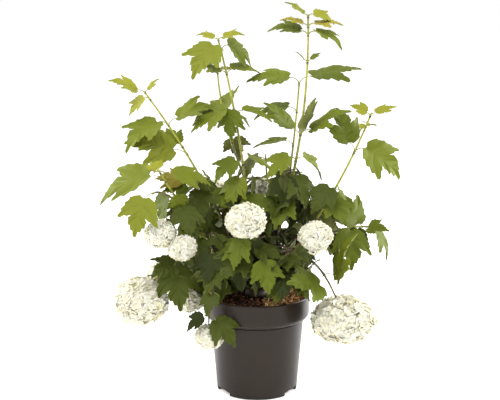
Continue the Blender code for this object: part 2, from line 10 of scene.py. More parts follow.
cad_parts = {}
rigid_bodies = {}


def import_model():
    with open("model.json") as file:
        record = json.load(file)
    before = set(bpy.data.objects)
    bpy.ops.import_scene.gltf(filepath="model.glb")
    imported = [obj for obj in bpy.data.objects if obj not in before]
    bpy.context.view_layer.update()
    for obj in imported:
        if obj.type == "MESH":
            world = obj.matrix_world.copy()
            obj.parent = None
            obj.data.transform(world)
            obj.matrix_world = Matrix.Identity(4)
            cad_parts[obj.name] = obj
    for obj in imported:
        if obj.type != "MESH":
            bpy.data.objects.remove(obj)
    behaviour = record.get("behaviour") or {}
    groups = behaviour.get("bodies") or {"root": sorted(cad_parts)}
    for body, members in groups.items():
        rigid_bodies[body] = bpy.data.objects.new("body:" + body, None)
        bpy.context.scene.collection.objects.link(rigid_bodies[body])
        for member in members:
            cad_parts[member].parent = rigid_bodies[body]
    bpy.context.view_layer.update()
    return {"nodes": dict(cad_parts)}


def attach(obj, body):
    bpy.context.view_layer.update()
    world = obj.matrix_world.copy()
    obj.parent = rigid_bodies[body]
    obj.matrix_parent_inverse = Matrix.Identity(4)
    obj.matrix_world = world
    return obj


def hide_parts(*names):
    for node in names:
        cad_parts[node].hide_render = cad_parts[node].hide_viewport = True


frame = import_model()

# The nursery pot: dark taupe plastic, moulded in one piece. A thin tapered wall ends in a
# rounded rim band, and three drainage notches are let into its foot. It stands on its
# flat underside.
POT_HEIGHT = 0.180
RIM_RADIUS = 0.095
BAND_HEIGHT = 0.045
BAND_STEP = 0.0105
BAND_ROUNDING = 0.010
BAND_UNDERCUT = 0.0012
BAND_LEAN = 0.0005
LIP_RADIUS = 0.0018
FOOT_RADIUS = 0.0725
FOOT_LINE = 0.0052
FOOT_LINE_REACH = 0.0012
FOOT_LINE_DEPTH = 0.0004
POT_WALL = 0.0024
POT_TURN_STEPS = 144
NOTCH_HEIGHT = 0.009
NOTCH_REACH = 0.060
NOTCH_HALF_TURN = 17.0
NOTCH_TURNS = (90, 210, 330)
TAUPE = (0.0125, 0.0085, 0.0060)
WARM_SHEEN = (1.0, 0.90, 0.84, 1.0)


def object_from(bm, name, materials, smooth=True):
    """Turn a finished mesh into a piece in the scene."""
    mesh = bpy.data.meshes.new(name)
    bm.to_mesh(mesh)
    bm.free()
    for surface in materials:
        mesh.materials.append(surface)
    if smooth:
        mesh.shade_smooth()
    made = bpy.data.objects.new(name, mesh)
    bpy.context.scene.collection.objects.link(made)
    return made


def place(piece, slot, *nodes):
    """The piece belongs to the plant's one body and takes the place of these solids."""
    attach(piece, "root")
    if nodes:
        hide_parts(*nodes)


def new_surface(name, colour, roughness, shine=0.5):
    made = bpy.data.materials.new(name)
    made.use_nodes = True
    shader = made.node_tree.nodes["Principled BSDF"]
    shader.inputs["Base Color"].default_value = (*colour, 1.0)
    shader.inputs["Roughness"].default_value = roughness
    shader.inputs["Specular IOR Level"].default_value = shine
    return made


def surface_noise(made, scale, detail=4.0, stretch=(1, 1, 1)):
    """A noise that lies in the piece's own space."""
    nodes, links = made.node_tree.nodes, made.node_tree.links
    spot = nodes.new("ShaderNodeTexCoord")
    mapping = nodes.new("ShaderNodeMapping")
    mapping.inputs["Scale"].default_value = stretch
    texture = nodes.new("ShaderNodeTexNoise")
    texture.inputs["Scale"].default_value = scale
    texture.inputs["Detail"].default_value = detail
    links.new(spot.outputs["Object"], mapping.inputs["Vector"])
    links.new(mapping.outputs["Vector"], texture.inputs["Vector"])
    return texture.outputs["Fac"]


def vary_roughness(made, pattern, low, high):
    nodes, links = made.node_tree.nodes, made.node_tree.links
    spread = nodes.new("ShaderNodeMapRange")
    spread.inputs["From Min"].default_value = 0.3
    spread.inputs["From Max"].default_value = 0.7
    spread.inputs["To Min"].default_value = low
    spread.inputs["To Max"].default_value = high
    links.new(pattern, spread.inputs["Value"])
    links.new(spread.outputs["Result"], nodes["Principled BSDF"].inputs["Roughness"])


def emboss(made, pattern, depth, strength=1.0):
    nodes, links = made.node_tree.nodes, made.node_tree.links
    bump = nodes.new("ShaderNodeBump")
    bump.inputs["Strength"].default_value = strength
    bump.inputs["Distance"].default_value = depth
    links.new(pattern, bump.inputs["Height"])
    links.new(bump.outputs["Normal"], nodes["Principled BSDF"].inputs["Normal"])


def wall_radius(height):
    """Outer radius of the tapered wall below the rim band."""
    under_band = RIM_RADIUS - BAND_STEP
    return FOOT_RADIUS + (under_band - FOOT_RADIUS) * height / (POT_HEIGHT - BAND_HEIGHT)


def pot_profile():
    """Half the section of the pot, from the middle of its underside to that of its floor."""
    band_foot = POT_HEIGHT - BAND_HEIGHT
    band_radius = RIM_RADIUS - BAND_LEAN
    floor_top = NOTCH_HEIGHT + POT_WALL
    profile = [(0.0, 0.0), (FOOT_RADIUS - 0.002, 0.0), (FOOT_RADIUS - 0.0006, 0.0006)]
    profile.append((wall_radius(0.002), 0.002))
    for height, depth in ((FOOT_LINE - FOOT_LINE_REACH, 0.0), (FOOT_LINE, FOOT_LINE_DEPTH),
                          (FOOT_LINE + FOOT_LINE_REACH, 0.0)):
        profile.append((wall_radius(height) - depth, height))
    for step in range(1, 8):
        height = FOOT_LINE + (band_foot - 0.0016 - FOOT_LINE) * step / 7
        profile.append((wall_radius(height), height))
    for height in (band_foot - 0.0009, band_foot + 0.0002):
        profile.append((wall_radius(band_foot) - BAND_UNDERCUT, height))
    for step in range(9):
        bend = radians(90.0 * step / 8)
        profile.append((band_radius - BAND_ROUNDING * (1 - sin(bend)),
                        band_foot + 0.0008 + BAND_ROUNDING * (1 - cos(bend))))
    for step in range(1, 4):
        height = band_foot + 0.012 + (BAND_HEIGHT - 0.015) * step / 3
        profile.append((band_radius + BAND_LEAN * step / 3, height))
    for step in range(7):
        bend = radians(180.0 * step / 6)
        profile.append((RIM_RADIUS - LIP_RADIUS + LIP_RADIUS * cos(bend),
                        POT_HEIGHT - LIP_RADIUS + LIP_RADIUS * sin(bend)))
    profile.append((RIM_RADIUS - 0.0040, POT_HEIGHT - 0.010))
    for height in (band_foot, floor_top):
        profile.append((wall_radius(height) - POT_WALL, height))
    profile.append((0.0, floor_top))
    return profile


def turned(profile, steps):
    """Spin a profile that starts and ends on the axis into a closed body."""
    bm = bmesh.new()
    points = [bm.verts.new((radius, 0.0, height)) for radius, height in profile]
    edges = [bm.edges.new(pair) for pair in zip(points, points[1:])]
    bmesh.ops.spin(bm, geom=points + edges, cent=(0, 0, 0), axis=(0, 0, 1),
                   angle=2 * pi, steps=steps, use_merge=True)
    bmesh.ops.remove_doubles(bm, verts=bm.verts, dist=0.00001)
    bmesh.ops.recalc_face_normals(bm, faces=bm.faces)
    return bm


def notch_cutter(turn):
    """A sector of a ring that reaches in under the pot's floor."""
    bm = bmesh.new()
    corners = ((NOTCH_REACH, -0.01), (RIM_RADIUS, -0.01), (RIM_RADIUS, NOTCH_HEIGHT - 0.001),
               (NOTCH_REACH + 0.004, NOTCH_HEIGHT))
    face = bm.faces.new([bm.verts.new((radius, 0.0, height)) for radius, height in corners])
    bmesh.ops.rotate(bm, verts=bm.verts, cent=(0, 0, 0),
                     matrix=Matrix.Rotation(radians(turn - NOTCH_HALF_TURN), 3, "Z"))
    bmesh.ops.spin(bm, geom=[face], cent=(0, 0, 0), axis=(0, 0, 1),
                   angle=radians(2 * NOTCH_HALF_TURN), steps=12)
    bmesh.ops.recalc_face_normals(bm, faces=bm.faces)
    return object_from(bm, "notch_cutter", [])


plastic = new_surface("moulded_plastic", TAUPE, roughness=0.30, shine=0.24)
plastic.node_tree.nodes["Principled BSDF"].inputs["Specular Tint"].default_value = WARM_SHEEN
vary_roughness(plastic, surface_noise(plastic, scale=60.0), low=0.29, high=0.35)
emboss(plastic, surface_noise(plastic, scale=900.0, detail=2.0), depth=0.00012, strength=0.5)
pot = object_from(turned(pot_profile(), POT_TURN_STEPS), "nursery_pot", [plastic])
cutters = [notch_cutter(turn) for turn in NOTCH_TURNS]
for cutter in cutters:
    cut = pot.modifiers.new("notch", "BOOLEAN")
    cut.object = cutter
    cut.operation = "DIFFERENCE"
bpy.context.view_layer.update()
cut_mesh = bpy.data.meshes.new_from_object(
    pot.evaluated_get(bpy.context.evaluated_depsgraph_get()))
pot.modifiers.clear()
pot.data = cut_mesh
for cutter in cutters:
    bpy.data.objects.remove(cutter, do_unlink=True)
pot.data.shade_smooth()
pot.data.set_sharp_from_angle(angle=radians(38))
place(pot, "pot_plastic", "pot")

# The root ball that fills the pot, under a mulch of bark chips. The mulch lies nearly level
# with the rim on the right, where it is heaped a little, and is lower on the left. The chips
# are dealt paler on the right as painted light, and darker on the left as painted shade of the
# leaves.
GROUND = 0.1745
GROUND_TILT = 0.0045
TILT_RIGHT = 0.92
TILT_BACK = 0.10
UNDER_CHIPS = 0.0035
HEAP_PLACE = Vector((0.044, 0.030))
HEAP_HEIGHT = 0.006
HEAP_WIDTH = 0.034
SOIL_LUMPS = ((160.0, 0.0014), (420.0, 0.0007))
CHIP_COUNT = 1500
CHIP_LENGTHS = (0.0035, 0.0105)
CHIP_WIDTHS = (0.25, 0.60)
CHIP_THICKNESSES = (0.12, 0.30)
CHIP_LIFTS = (0.0002, 0.0030)
CHIPS_TO = 0.0895
CHIPS_FROM = 0.024
CHIP_COLOURS = (
    ("bark_chip_dark", (0.040, 0.018, 0.010)),
    ("bark_chip_red", (0.260, 0.092, 0.036)),
    ("bark_chip_brown", (0.130, 0.058, 0.028)),
    ("bark_chip_tan", (0.600, 0.320, 0.120)),
    ("bark_chip_pale", (0.780, 0.560, 0.290)),
)
# Painted shade and painted light: chips left of the middle draw mostly dark tones, those to the
# right mostly pale ones.
SHADED_SHARES = (50, 22, 22, 5, 1)
SUNNY_SHARES = (2, 20, 16, 34, 28)
SUNNY_FROM = 0.012


def vary_colour(made, pattern, stops):
    """Colour stops (place, colour) along the pattern's range."""
    nodes, links = made.node_tree.nodes, made.node_tree.links
    blend = nodes.new("ShaderNodeValToRGB")
    ramp = blend.color_ramp
    while len(ramp.elements) < len(stops):
        ramp.elements.new(0.5)
    for element, (spot, colour) in zip(ramp.elements, stops):
        element.position = spot
        element.color = (*colour, 1.0)
    links.new(pattern, blend.inputs["Fac"])
    links.new(blend.outputs["Color"], nodes["Principled BSDF"].inputs["Base Color"])


def mulch_height(x, y):
    """Top of the root ball, under the chips."""
    away = (Vector((x, y)) - HEAP_PLACE).length / HEAP_WIDTH
    tilt = GROUND_TILT * (TILT_RIGHT * x + TILT_BACK * y) / RIM_RADIUS
    return GROUND - UNDER_CHIPS + tilt + HEAP_HEIGHT * exp(-away * away)


def root_ball():
    """The plug of soil, a little clear of the pot all round, with a lumpy top."""
    floor_top = NOTCH_HEIGHT + POT_WALL + 0.0004
    band_foot = POT_HEIGHT - BAND_HEIGHT
    inset = POT_WALL + 0.0006
    edge = RIM_RADIUS - 0.0045
    profile = [(0.0, floor_top), (wall_radius(floor_top) - inset, floor_top),
               (wall_radius(band_foot) - inset, band_foot), (edge, GROUND)]
    rings = 22
    for ring in range(1, rings + 1):
        profile.append((edge * (1 - ring / rings), GROUND))
    bm = turned(profile, 96)
    for vert in bm.verts:
        if vert.co.z > GROUND - 0.0001:
            lump = sum(noise.noise(vert.co * pitch) * depth for pitch, depth in SOIL_LUMPS)
            vert.co.z = mulch_height(vert.co.x, vert.co.y) + lump
    return bm


def bark_skin(name, colour):
    made = new_surface(name, colour, roughness=0.85, shine=0.3)
    dark = tuple(0.55 * part for part in colour)
    light = tuple(min(1.0, 1.25 * part) for part in colour)
    vary_colour(made, surface_noise(made, scale=380.0, detail=3.0),
                ((0.30, dark), (0.52, colour), (0.72, light)))
    emboss(made, surface_noise(made, scale=700.0, detail=3.0, stretch=(1, 1, 3)), depth=0.0006)
    return made


def add_to(whole, part):
    """Append a small mesh to the joined one."""
    mesh = bpy.data.meshes.new("part")
    part.to_mesh(mesh)
    part.free()
    whole.from_mesh(mesh)
    bpy.data.meshes.remove(mesh)


def chip_pile(count):
    """Split and crumbled chips, most lying flat, a few on edge, paler on the right as painted
    light and darker on the left as painted shade.
    """
    dice = random.Random(7)
    pile = bmesh.new()
    while count:
        x, y = dice.uniform(-0.09, 0.09), dice.uniform(-0.09, 0.09)
        long = dice.uniform(*CHIP_LENGTHS)
        away = (x * x + y * y) ** 0.5
        if away > CHIPS_TO - long * 0.42 or away < CHIPS_FROM:
            continue
        count -= 1
        chip = bmesh.new()
        bmesh.ops.create_cube(chip, size=1.0)
        for vert in chip.verts:
            vert.co.x *= 1.0 - 0.55 * dice.random() * (vert.co.y > 0)
            vert.co += Vector([dice.uniform(-0.14, 0.14) for _ in range(3)])
        lean = Matrix.Rotation(radians(dice.gauss(0, 24)), 4, "X")
        roll = Matrix.Rotation(radians(dice.gauss(0, 20)), 4, "Y")
        yaw = Matrix.Rotation(dice.uniform(0, 2 * pi), 4, "Z")
        size = Matrix.Diagonal((long * dice.uniform(*CHIP_WIDTHS), long,
                                long * dice.uniform(*CHIP_THICKNESSES), 1.0))
        height = mulch_height(x, y) + dice.uniform(*CHIP_LIFTS)
        spot = Matrix.Translation((x, y, height))
        bmesh.ops.transform(chip, matrix=spot @ yaw @ lean @ roll @ size, verts=chip.verts)
        # Painted light and shade: the chip's tone is drawn from the pale mix on the right and
        # the dark mix on the left.
        shares = SUNNY_SHARES if x > SUNNY_FROM else SHADED_SHARES
        tone = dice.choices(range(len(CHIP_COLOURS)), shares)[0]
        for face in chip.faces:
            face.material_index = tone
        add_to(pile, chip)
    return pile


soil = object_from(root_ball(), "root_ball", [bark_skin("peat", (0.050, 0.024, 0.014))])
place(soil, "bark_mulch", "potting_soil")
chips = object_from(chip_pile(CHIP_COUNT), "bark_chips",
                    [bark_skin(name, colour) for name, colour in CHIP_COLOURS], smooth=False)
place(chips, "bark_mulch")

# The stems: brown and woody at the foot, olive and then yellow-green above, with a dark ring
# at each node. Sixteen main stems stand on a low woody foot, and side shoots leave some of
# them. Each is bowed by the offset of its middle, as the plant grew to the light.
WOODY_FOOT_RADIUS = 0.023
WOODY_FOOT_HEIGHT = 0.022
GROUND_AT_FOOT = 0.176
INNER_STEMS = 4
INNER_FEET = 0.0060
OUTER_FEET = 0.0150
FOOT_GAP = 0.0004
FOOT_STEPS = ((0.0, 1.0), (0.12, 0.97), (0.3, 0.88), (0.5, 0.83), (0.7, 0.82), (0.88, 0.86),
              (1.0, 0.78))
STEM_ROOT_RADIUS = 0.0030
SIDE_ROOT_SHARE = 0.7
STEM_TIP_RADIUS = 0.0016
STEM_TAPER = 1.2
STEM_PITCH = 0.0045
STEM_SIDES = 8
NODE_SWELLING = 0.30
NODE_LENGTH = 0.0026
NODE_RINGS = (-0.0022, -0.0007, 0.0007, 0.0022)
SCAR_HALF = 0.0008
RIDGE_PITCH = 900
RIDGE_LONG_PITCH = 130
RIDGE_DEPTH = 0.00028
WOODY_BELOW = 0.30
WOODY_LENGTH = 0.10
OLIVE_LENGTH = 0.16
YOUNG_SHARE = 0.62
STEM_WOOD, STEM_OLIVE, STEM_GREEN, STEM_YOUNG, STEM_SCAR = range(5)
BLOOM_FLATNESS = 0.86


def shoot(name, tip, bow, pairs=(), bloom=0.0, flat=BLOOM_FLATNESS, parent=None, start=0.0,
          look=1.0):
    """A stem with its leaf pairs and bloom, and how far its leaves turn their face outwards.

    A pair is (place, turn, droop, length), and its own look where it has one. Two values
    together are for its two leaves, and a length of 0 is a leaf that has fallen. A bloom is
    given by its radius and by its height for its width.
    """
    return {"name": name, "tip": Vector(tip), "bow": Vector(bow), "pairs": pairs,
            "bloom": bloom, "flat": flat, "parent": parent, "start": start, "look": look}


SHOOTS = (
    shoot("right_tall", (0.086, -0.030, 0.680), (0.024, -0.010, 0.000), look=0.45, pairs=(
        (0.31, 250, 40, 0.056), (0.40, 300, 55, 0.056), (0.47, 25, 45, 0.050),
        (0.565, 350, (-36, -50), (0.066, 0.070), (0.3, 1.0)), (0.57, 290, -66, (0.060, 0), 1.0),
        (0.83, 20, -45, 0.022), (0.925, 350, (24, -14), 0.052),
        (0.955, 184, (-18, 2), (0.036, 0.044)), (0.99, 0, (14, -44), (0.038, 0.036)))),
    shoot("right_short", (0.076, 0.070, 0.553), (0.004, 0.022, 0.010), parent="right_tall",
          start=0.30, look=0.45, pairs=(
              (0.22, 210, 60, 0.052), (0.42, 175, 12, (0.056, 0)),
              (0.70, 182, 14, (0.058, 0)), (0.98, 184, (-6, -4), (0.068, 0.080)))),
    shoot("left_tall", (-0.070, 0.055, 0.632), (0.010, -0.004, 0.012), look=0.7, pairs=(
        (0.32, 310, 45, 0.060), (0.39, 230, 50, 0.060), (0.46, 200, 25, 0.058),
        (0.665, 184, (26, 10), (0.068, 0.060), (0.8, 0.1)), (0.67, 284, 42, (0.062, 0)),
        (0.84, 12, (2, -14), (0.058, 0.050)), (0.945, 190, (56, 20), (0.072, 0.060), 1.0),
        (0.99, 350, (-8, -18), 0.034))),
    shoot("left_second", (-0.072, 0.100, 0.568), (-0.010, 0.010, 0.006), parent="left_tall",
          start=0.40, pairs=(
              (0.30, 60, 40, (0.050, 0)), (0.55, 150, 20, (0.056, 0.050)),
              (0.54, 75, -36, (0.066, 0)), (0.98, 120, -20, 0.034))),
    shoot("back_small_bloom", (0.010, 0.062, 0.362), (0.004, 0.012, 0.012), parent="left_tall",
          start=0.38, bloom=0.019, pairs=((0.55, 60, 20, 0.055),)),
    shoot("left_high", (-0.204, 0.066, 0.536), (0.010, 0.004, 0.010), pairs=(
        (0.35, 210, 40, 0.060), (0.42, 280, 45, 0.060), (0.50, 240, 40, 0.060),
        (0.64, 188, -20, (0.080, 0)), (0.68, 160, -72, (0.046, 0)),
        (0.80, 181, (38, -32), (0.090, 0.068), (0.5, 1.0)),
        (0.95, 200, (50, 0), (0.044, 0)), (0.99, 200, (-38, -55), (0.046, 0.024)))),
    shoot("left_middle", (-0.119, -0.010, 0.381), (-0.006, -0.010, 0.006), parent="left_high",
          start=0.40, pairs=((0.45, 290, 50, 0.050), (0.75, 200, 10, (0.046, 0.040)),
                             (0.98, 150, -15, (0.048, 0.030)))),
    shoot("left_low", (-0.172, -0.052, 0.415), (-0.010, -0.006, 0.000), pairs=(
        (0.40, 220, 45, 0.058), (0.52, 250, 60, 0.055), (0.66, 300, 38, 0.052),
        (0.76, 206, 55, (0.072, 0.056)), (0.90, 184, (10, 4), (0.090, 0.064)),
        (0.97, 280, -20, 0.034))),
    shoot("left_hanging", (-0.181, -0.078, 0.377), (-0.006, -0.004, 0.012), parent="left_low",
          start=0.70, pairs=((0.97, 238, 52, (0.066, 0)),)),
    shoot("left_bloom", (-0.167, -0.080, 0.307), (-0.006, -0.008, 0.022), parent="left_low",
          start=0.46, bloom=0.030, pairs=((0.50, 210, 20, 0.056),)),
    shoot("left_bloom_low", (-0.130, -0.090, 0.286), (-0.004, -0.008, 0.020),
          parent="left_low", start=0.42, bloom=0.028),
    shoot("left_inner", (-0.070, -0.080, 0.250), (-0.002, -0.010, 0.006), parent="left_low",
          start=0.38, pairs=((0.40, 250, 50, 0.050), (0.75, 330, 45, 0.050),
                             (0.98, 240, 30, 0.044))),
    shoot("left_arching", (-0.206, -0.052, 0.180), (-0.012, -0.008, 0.062), bloom=0.049,
          pairs=((0.60, 280, 80, (0.084, 0)), (0.41, 240, 30, 0.058),
                 (0.52, 178, 45, (0.066, 0)), (0.76, 100, 20, (0.042, 0)))),
    shoot("rim_front", (-0.084, -0.088, 0.124), (-0.024, -0.026, 0.060), bloom=0.027,
          pairs=((0.62, 260, 50, 0.036), (0.84, 172, (30, 24), (0.036, 0.054)))),
    shoot("rim_back", (-0.124, 0.050, 0.152), (-0.010, 0.012, 0.040), parent="left_arching",
          start=0.42, bloom=0.030, pairs=((0.60, 120, 30, 0.055),)),
    shoot("front_bloom", (-0.020, -0.104, 0.336), (0.000, -0.020, 0.012), bloom=0.036,
          pairs=((0.36, 300, 30, 0.056), (0.42, 220, 36, 0.060), (0.50, 350, 20, 0.050),
                 (0.64, 200, 62, 0.060), (0.80, 262, 66, 0.046))),
    shoot("front_young", (0.010, -0.092, 0.256), (0.004, -0.014, 0.004), parent="front_bloom",
          start=0.42, pairs=((0.40, 300, 55, 0.050), (0.70, 220, 50, 0.044),
                             (0.96, 265, -10, 0.034), (0.99, 350, -10, 0.034))),
    shoot("right_bloom", (0.100, -0.086, 0.304), (0.004, -0.016, 0.020), bloom=0.031,
          pairs=((0.41, 240, 40, 0.058), (0.52, 300, 60, (0.044, 0.050)),
                 (0.79, 116, 20, 0.040))),
    shoot("front_low", (0.052, -0.086, 0.224), (0.002, -0.010, 0.006), parent="right_bloom",
          start=0.42, pairs=((0.45, 260, 50, 0.046), (0.80, 340, 40, (0.040, 0.046)),
                             (0.98, 240, 30, 0.040))),
    shoot("right_high", (0.196, -0.050, 0.514), (0.012, -0.006, -0.012), pairs=(
        (0.43, 250, 45, 0.055), (0.52, 310, 30, 0.050), (0.59, 20, 46, (0.030, 0.056)),
        (0.80, 350, (36, 0), (0.072, 0)), (0.81, 132, -64, (0.062, 0), 1.0),
        (0.93, 250, 0, 0.026), (0.985, 0, -30, (0.036, 0.032)))),
    shoot("right_arching", (0.153, -0.072, 0.150), (0.004, -0.008, 0.082), bloom=0.058,
          flat=0.70, pairs=((0.72, 178, (14, -72), (0.094, 0.092), 1.0),
                            (0.45, 300, 20, (0, 0.046)), (0.58, 100, 20, (0.046, 0)))),
    shoot("right_side", (0.210, 0.050, 0.288), (0.006, 0.006, 0.030), pairs=(
        (0.90, 150, (-66, -10), (0.070, 0.036)), (0.80, 262, 66, (0.050, 0.040)),
        (0.70, 80, 46, (0, 0.074)), (0.94, 350, 62, (0.060, 0), 0.2),
        (0.46, 330, 40, (0, 0.050)), (0.54, 280, 50, (0.040, 0.060)))),
    shoot("back_middle", (0.016, 0.128, 0.410), (0.008, 0.026, 0.000), pairs=(
        (0.38, 100, 50, 0.070), (0.50, 10, 35, 0.070), (0.62, 95, 20, 0.070),
        (0.75, 5, 15, 0.064), (0.94, 186, 24, (0.064, 0.050)))),
    shoot("back_left", (-0.085, 0.150, 0.326), (-0.004, 0.020, 0.010), bloom=0.037,
          pairs=((0.42, 40, 50, 0.065), (0.56, 130, 30, 0.075), (0.70, 45, 15, 0.070),
                 (0.84, 135, 5, 0.050))),
    shoot("back_right", (0.128, 0.126, 0.325), (0.012, 0.016, 0.010), pairs=(
        (0.42, 140, 50, 0.065), (0.54, 50, 30, 0.074), (0.66, 140, 25, 0.070),
        (0.80, 50, 15, 0.064), (0.97, 140, 0, 0.044))),
    shoot("back_low_left", (-0.172, 0.126, 0.174), (-0.016, 0.010, 0.060), bloom=0.038,
          pairs=((0.48, 90, 45, 0.060), (0.62, 10, 30, 0.066), (0.80, 100, 20, 0.056))),
    shoot("back_low_right", (0.090, 0.170, 0.225), (0.010, 0.020, 0.046), bloom=0.036,
          pairs=((0.48, 60, 45, 0.060), (0.62, 150, 30, 0.070), (0.78, 60, 15, 0.056))),
)
MAIN_SHOOTS = [item for item in SHOOTS if item["parent"] is None]
BY_NAME = {item["name"]: item for item in SHOOTS}


def tip_turn(item):
    return degrees(atan2(item["tip"].y, item["tip"].x)) % 360.0


def stem_point(item, share):
    chord = item["foot"].lerp(item["tip"], share)
    return chord + item["bow"] * (4 * share * (1 - share))


def stem_slope(item, share):
    """How far and which way the stem runs for a share of 1."""
    return item["tip"] - item["foot"] + item["bow"] * (4 - 8 * share)


def stem_radius(item, share):
    root = STEM_ROOT_RADIUS if item["parent"] is None else SIDE_ROOT_SHARE * STEM_ROOT_RADIUS
    return STEM_TIP_RADIUS + (root - STEM_TIP_RADIUS) * (1 - share) ** STEM_TAPER


def set_feet():
    """Each main stem stands on the woody foot on the side that it leans to."""
    top = GROUND_AT_FOOT + FOOT_GAP + WOODY_FOOT_HEIGHT + FOOT_GAP
    by_reach = sorted(MAIN_SHOOTS, key=lambda item: item["tip"].xy.length / item["tip"].z)
    for group, radius in ((by_reach[:INNER_STEMS], INNER_FEET),
                          (by_reach[INNER_STEMS:], OUTER_FEET)):
        group.sort(key=tip_turn)
        apart = 360.0 / len(group)
        drift = [tip_turn(item) - apart * number for number, item in enumerate(group)]
        first = sum(drift) / len(drift)
        for number, item in enumerate(group):
            turn = radians(first + apart * number)
            item["foot"] = Vector((radius * cos(turn), radius * sin(turn), top))
    for item in SHOOTS:
        if item["parent"] is not None:
            item["foot"] = stem_point(BY_NAME[item["parent"]], item["start"])


def station(point, along, radius):
    """Where a limb's ring stands: square to the way the limb runs there, to its radius."""
    turn = Vector((0, 0, 1)).rotation_difference(along).to_matrix().to_4x4()
    return Matrix.Translation(point) @ turn @ Matrix.Scale(radius, 4)


def drawn_out(stations, sides, tones=None):
    """Extrude a disc through its stations into a closed limb."""
    bm = bmesh.new()
    bmesh.ops.create_circle(bm, cap_ends=True, radius=1.0, segments=sides)
    bmesh.ops.transform(bm, matrix=stations[0], verts=bm.verts)
    bm.faces.ensure_lookup_table()
    cap = bm.faces[0]
    for number, (before, after) in enumerate(zip(stations, stations[1:])):
        grown = bmesh.ops.extrude_face_region(bm, geom=[cap])["geom"]
        cap = next(part for part in grown if isinstance(part, bmesh.types.BMFace))
        bmesh.ops.transform(bm, matrix=after @ before.inverted(), verts=cap.verts)
        if tones:
            for edge in cap.edges:
                for face in edge.link_faces:
                    face.material_index = tones[number]
    bmesh.ops.recalc_face_normals(bm, faces=bm.faces)
    return bm


def stem_tone(item, share):
    """Brown wood near the foot, and yellow-green young growth towards the tip."""
    length = (item["tip"] - item["foot"]).length
    along = share * length + (WOODY_LENGTH if item["parent"] else 0.0)
    if along < WOODY_LENGTH:
        return STEM_WOOD
    if along < OLIVE_LENGTH:
        return STEM_OLIVE
    return STEM_GREEN if share < YOUNG_SHARE else STEM_YOUNG


def drawn_stem(item):
    """The whole stem, swollen at its nodes, with a dark scar ring on each."""
    length = (item["tip"] - item["foot"]).length
    steps = ceil(length / STEM_PITCH)
    nodes = [pair[0] for pair in item["pairs"]]
    shares = {number / steps for number in range(steps + 1)}
    for node in nodes:
        for offset in NODE_RINGS:
            shares.add(min(1.0, node + offset / length))
    shares = sorted(shares)
    stations = []
    tones = []
    for share in shares:
        swelling = sum(exp(-((share - node) * length / NODE_LENGTH) ** 2) for node in nodes)
        radius = stem_radius(item, share) * (1 + NODE_SWELLING * swelling)
        stations.append(station(stem_point(item, share), stem_slope(item, share).normalized(),
                                radius))
        on_scar = any(abs(share - node) * length < SCAR_HALF for node in nodes)
        tones.append(STEM_SCAR if on_scar else stem_tone(item, share))
    bm = drawn_out(stations, STEM_SIDES, tones[1:])
    for vert in bm.verts:
        wood = 1.0 if vert.co.z < WOODY_BELOW else 0.3
        ridge = noise.noise(Vector((vert.co.x * RIDGE_PITCH, vert.co.y * RIDGE_PITCH,
                                    vert.co.z * RIDGE_LONG_PITCH)))
        vert.co += vert.normal * (ridge * RIDGE_DEPTH * wood)
    return bm


def stem_skin(name, colour, dark, light):
    """Bark or green skin, streaked along the stem."""
    made = new_surface(name, colour, roughness=0.5, shine=0.4)
    vary_colour(made, surface_noise(made, scale=500.0, detail=3.0, stretch=(1, 1, 0.22)),
                ((0.32, dark), (0.52, colour), (0.74, light)))
    vary_roughness(made, surface_noise(made, scale=200.0), low=0.42, high=0.62)
    emboss(made, surface_noise(made, scale=1100.0, detail=3.0, stretch=(1, 1, 0.2)),
           depth=0.00025)
    return made


def woody_foot():
    """The low stool that the stems rise from, cut flat below, with furrowed bark."""
    base = GROUND_AT_FOOT + FOOT_GAP
    stations = [station(Vector((0, 0, base + share * WOODY_FOOT_HEIGHT)), Vector((0, 0, 1)),
                        WOODY_FOOT_RADIUS * width) for share, width in FOOT_STEPS]
    bm = drawn_out(stations, 40)
    for vert in bm.verts:
        turn = atan2(vert.co.y, vert.co.x)
        furrow = 0.035 * sin(3 * turn + 1.0) + 0.05 * noise.noise(
            Vector((cos(turn) * 4, sin(turn) * 4, vert.co.z * 60)))
        vert.co.xy *= 1 + furrow
    return bm


set_feet()
stem_skins = [
    stem_skin("stem_wood", (0.070, 0.044, 0.028), (0.034, 0.022, 0.014), (0.125, 0.085, 0.055)),
    stem_skin("stem_olive", (0.125, 0.105, 0.030), (0.070, 0.052, 0.020), (0.190, 0.170, 0.050)),
    stem_skin("stem_green", (0.215, 0.225, 0.026), (0.150, 0.155, 0.020), (0.290, 0.300, 0.045)),
    stem_skin("stem_young", (0.295, 0.310, 0.024), (0.220, 0.235, 0.020), (0.380, 0.390, 0.050)),
    stem_skin("stem_scar", (0.110, 0.085, 0.026), (0.060, 0.045, 0.016), (0.150, 0.125, 0.036)),
]
foot = object_from(woody_foot(), "woody_foot_bark", [stem_skins[STEM_WOOD]])
place(foot, "woody_bark", "woody_foot")
all_stems = bmesh.new()
for item in SHOOTS:
    add_to(all_stems, drawn_stem(item))
stems = object_from(all_stems, "stems", stem_skins)
place(stems, "woody_bark", *[item["name"] + "_bough" for item in MAIN_SHOOTS])

